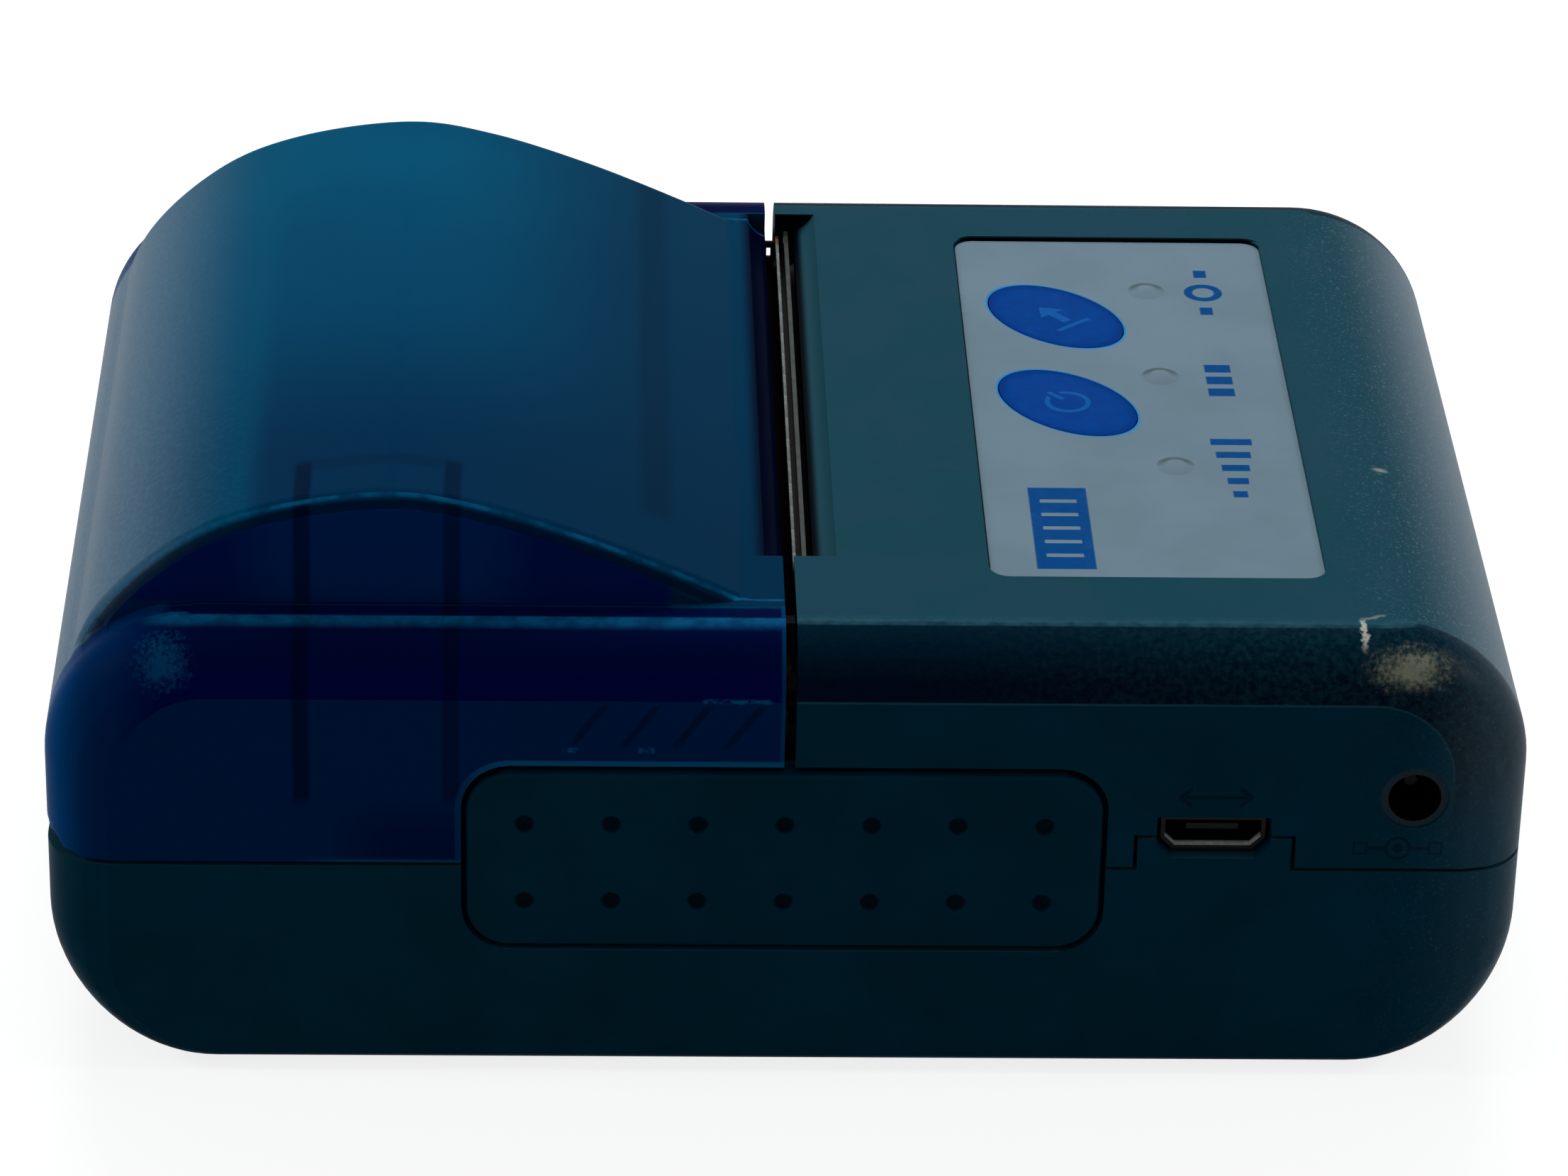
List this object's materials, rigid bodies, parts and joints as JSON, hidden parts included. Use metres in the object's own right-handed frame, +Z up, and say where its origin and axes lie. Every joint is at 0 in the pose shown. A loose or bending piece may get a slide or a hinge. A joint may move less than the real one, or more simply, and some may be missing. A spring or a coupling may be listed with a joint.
{
  "type": "portable receipt printer",
  "caption": "Palm-sized thermal receipt printer with rounded housings, hinged translucent paper cover, side release buttons, keypad overlay and side sockets.",
  "frame": {"origin": "centre of the resting face on the table", "axes": "+X from the hinge end to the control panel, +Y from the side with the sockets to the far side, +Z up"},
  "size_m": [0.106, 0.077, 0.0437],
  "materials": {
    "housing_plastic": "fine spark-eroded grain, dark slate teal",
    "button_plastic": "fine grain, dark slate teal",
    "cover_plastic": "deep blue, translucent, satin",
    "panel_film": "matt grey-white printed film",
    "key_plastic": "saturated blue, matt",
    "lens_plastic": "frosted grey-white",
    "steel": "brushed",
    "spring_steel": "drawn wire",
    "aluminium": "extruded",
    "platen_rubber": "ground rubber",
    "gear_plastic": "natural nylon",
    "frame_plastic": "black glass-filled plastic",
    "circuit_board": "green solder resist",
    "component_black": "moulded black",
    "battery_wrap": "shrink wrap",
    "flat_cable": "polyimide film"
  },
  "bodies": {
    "base": {"lower_housing": "housing_plastic", "upper_housing": "housing_plastic", "battery_door": "housing_plastic", "battery_door_screw_near": "steel", "battery_door_screw_far": "steel", "case_screw_left_near": "steel", "case_screw_left_far": "steel", "case_screw_right_near": "steel", "case_screw_right_far": "steel", "battery_pack": "battery_wrap", "main_board": "circuit_board", "board_screw_left_near": "steel", "board_screw_left_far": "steel", "board_screw_tab": "steel", "usb_connector": "steel", "dc_jack": "component_black", "key_board": "circuit_board", "key_board_screw_near": "steel", "key_board_screw_far": "steel", "feed_switch": "component_black", "power_switch": "component_black", "control_panel": "panel_film", "led_lens_near": "lens_plastic", "led_lens_middle": "lens_plastic", "led_lens_far": "lens_plastic", "tear_bar": "steel", "mechanism_frame": "frame_plastic", "mechanism_screw_left": "steel", "mechanism_screw_right": "steel", "head_spring_near": "spring_steel", "head_spring_far": "spring_steel", "platen_motor": "steel", "paper_sensor": "component_black", "head_cable": "flat_cable", "cable_socket": "gear_plastic", "hinge_pin_near": "steel", "hinge_pin_far": "steel", "latch_spring_near_left": "spring_steel", "latch_spring_near_right": "spring_steel", "latch_spring_far": "spring_steel"},
    "cover": {"paper_cover": "cover_plastic", "platen_bush_near": "gear_plastic", "platen_bush_far": "gear_plastic"},
    "platen": {"platen_shaft": "steel", "platen_roller": "platen_rubber", "platen_gear": "gear_plastic"},
    "idler": {"idler_gear": "gear_plastic"},
    "motor": {"motor_pinion": "steel"},
    "head": {"print_head": "aluminium"},
    "latch_near": {"latch_button_near": "button_plastic"},
    "latch_far": {"latch_button_far": "button_plastic"},
    "feed_key": {"feed_button": "key_plastic"},
    "power_key": {"power_button": "key_plastic"}
  },
  "joints": [
    {"name": "cover_hinge", "type": "hinge", "parent": "base", "child": "cover", "pos_m": [-0.0508, 0, 0.01965], "axis": [0, -1, 0], "range_deg": [0, 90]},
    {"name": "platen_spin", "type": "hinge", "parent": "cover", "child": "platen", "pos_m": [-0.003, 0.0039, 0.0275], "axis": [0, 1, 0], "continuous": true},
    {"name": "idler_spin", "type": "hinge", "parent": "base", "child": "idler", "pos_m": [-0.00195, -0.0334, 0.02109], "axis": [0, 1, 0], "continuous": true},
    {"name": "motor_spin", "type": "hinge", "parent": "base", "child": "motor", "pos_m": [0.00123, -0.0334, 0.0132], "axis": [0, 1, 0], "continuous": true},
    {"name": "head_pivot", "type": "hinge", "parent": "base", "child": "head", "pos_m": [0.00275, 0.0039, 0.0239], "axis": [0, 1, 0], "range_deg": [0, 2.5], "stiffness_Nm_per_rad": 0.05, "springref_deg": -11.46, "deforming": ["head_spring_near", "head_spring_far", "head_cable"]},
    {"name": "latch_near_press", "type": "slide", "parent": "base", "child": "latch_near", "axis": [0, 1, 0], "range_m": [0, 0.0012], "stiffness_N_per_m": 800, "springref_m": -0.002, "deforming": ["latch_spring_near_left", "latch_spring_near_right"]},
    {"name": "latch_far_press", "type": "slide", "parent": "base", "child": "latch_far", "axis": [0, -1, 0], "range_m": [0, 0.0012], "stiffness_N_per_m": 800, "springref_m": -0.002, "deforming": ["latch_spring_far"]},
    {"name": "feed_press", "type": "slide", "parent": "base", "child": "feed_key", "axis": [0, 0, -1], "range_m": [0, 0.0004], "stiffness_N_per_m": 1500, "springref_m": -0.0004},
    {"name": "power_press", "type": "slide", "parent": "base", "child": "power_key", "axis": [0, 0, -1], "range_m": [0, 0.0004], "stiffness_N_per_m": 1500, "springref_m": -0.0004}
  ],
  "couplings": [
    {"joint": "idler_spin", "follows": "platen_spin", "ratio": -1.1667},
    {"joint": "motor_spin", "follows": "platen_spin", "ratio": 2.8}
  ]
}
